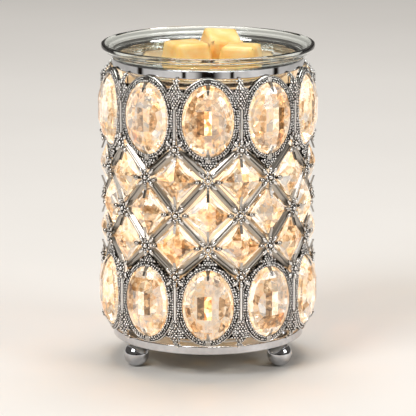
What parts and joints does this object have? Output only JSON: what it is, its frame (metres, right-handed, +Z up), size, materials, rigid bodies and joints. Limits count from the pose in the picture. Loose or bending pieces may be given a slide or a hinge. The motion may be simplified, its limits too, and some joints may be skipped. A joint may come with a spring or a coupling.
{
  "type": "wax melt warmer",
  "caption": "Cylindrical crystal basket warmer: a glass dish of wax cubes on a chrome cage of faceted crystals, lit and heated by a bulb inside, on ball feet.",
  "frame": {"origin": "centre of the three ball feet's flats, on the surface that the warmer stands on", "axes": "+Z up along the cage's axis, -Y towards the front of the pictured view"},
  "size_m": [0.1126, 0.1156, 0.1709],
  "materials": {
    "chrome": "polished chrome plate",
    "cage_metal": "cast alloy, antique silver plated and polished",
    "crystal": "cut and polished crystal, warm tint",
    "dish_glass": "clear pressed soda-lime glass, green at the edge",
    "wax": "smooth poured wax, apricot, slightly translucent",
    "plate_steel": "pressed steel, silver lacquer",
    "zinc_steel": "bright zinc plated",
    "porcelain": "glazed white porcelain",
    "brass": "drawn brass",
    "rubber": "moulded black rubber",
    "bulb_glass": "frosted blown glass, lit",
    "vitrite": "black glass insulator",
    "lead_wire": "nickel wire",
    "hot_filament": "coiled tungsten, lit"
  },
  "bodies": {
    "cage": {"top_band": "chrome", "bottom_band": "chrome", "ball_feet": "chrome", "foot_collars": "chrome", "upper_oval_frames": "cage_metal", "lower_oval_frames": "cage_metal", "upper_struts": "cage_metal", "lower_struts": "cage_metal", "straps_row_1": "cage_metal", "straps_row_2": "cage_metal", "straps_row_3": "cage_metal", "straps_row_4": "cage_metal", "rosettes_row_1": "cage_metal", "rosettes_row_2": "cage_metal", "rosettes_row_3": "cage_metal", "rosettes_row_4": "cage_metal", "rosettes_row_5": "cage_metal", "upper_oval_claws": "cage_metal", "lower_oval_claws": "cage_metal", "upper_square_claws": "cage_metal", "middle_square_claws": "cage_metal", "lower_square_claws": "cage_metal", "upper_oval_crystals": "crystal", "lower_oval_crystals": "crystal", "upper_square_crystals": "crystal", "middle_square_crystals": "crystal", "lower_square_crystals": "crystal", "base_plate": "plate_steel", "foot_studs": "zinc_steel", "foot_nuts": "zinc_steel", "foot_washers": "zinc_steel", "holder_nipple": "zinc_steel", "holder_lock_nut": "zinc_steel", "lamp_holder_body": "porcelain", "holder_screw_shell": "brass", "holder_centre_contact": "brass", "cord_inlet_bush": "rubber"},
    "dish": {"glass_dish": "dish_glass"},
    "wax_left": {"wax_cube_left": "wax"},
    "wax_right": {"wax_cube_right": "wax"},
    "wax_rear": {"wax_cube_rear": "wax"},
    "bulb_end": {"bulb_tip_contact": "brass", "bulb_insulator": "vitrite"},
    "bulb": {"bulb_cap": "brass", "bulb_glass": "bulb_glass", "bulb_stem": "bulb_glass", "bulb_lead_wires": "lead_wire", "bulb_filament": "hot_filament"}
  },
  "joints": [
    {"name": "dish_lift", "type": "slide", "parent": "cage", "child": "dish", "axis": [0, 0, 1], "range_m": [0, 0.045]},
    {"name": "wax_left_lift", "type": "slide", "parent": "dish", "child": "wax_left", "axis": [0, 0, 1], "range_m": [0, 0.03]},
    {"name": "wax_right_lift", "type": "slide", "parent": "dish", "child": "wax_right", "axis": [0, 0, 1], "range_m": [0, 0.03]},
    {"name": "wax_rear_lift", "type": "slide", "parent": "dish", "child": "wax_rear", "axis": [0, 0, 1], "range_m": [0, 0.03]},
    {"name": "bulb_rise", "type": "slide", "parent": "cage", "child": "bulb_end", "axis": [0, 0, 1], "range_m": [0, 0.00987]},
    {"name": "bulb_turn", "type": "hinge", "parent": "bulb_end", "child": "bulb", "pos_m": [0, 0, 0.04], "axis": [0, 0, 1], "range_deg": [0, 1260]}
  ],
  "couplings": [
    {"joint": "bulb_turn", "follows": "bulb_rise", "rad_per_m": 2228.1}
  ]
}
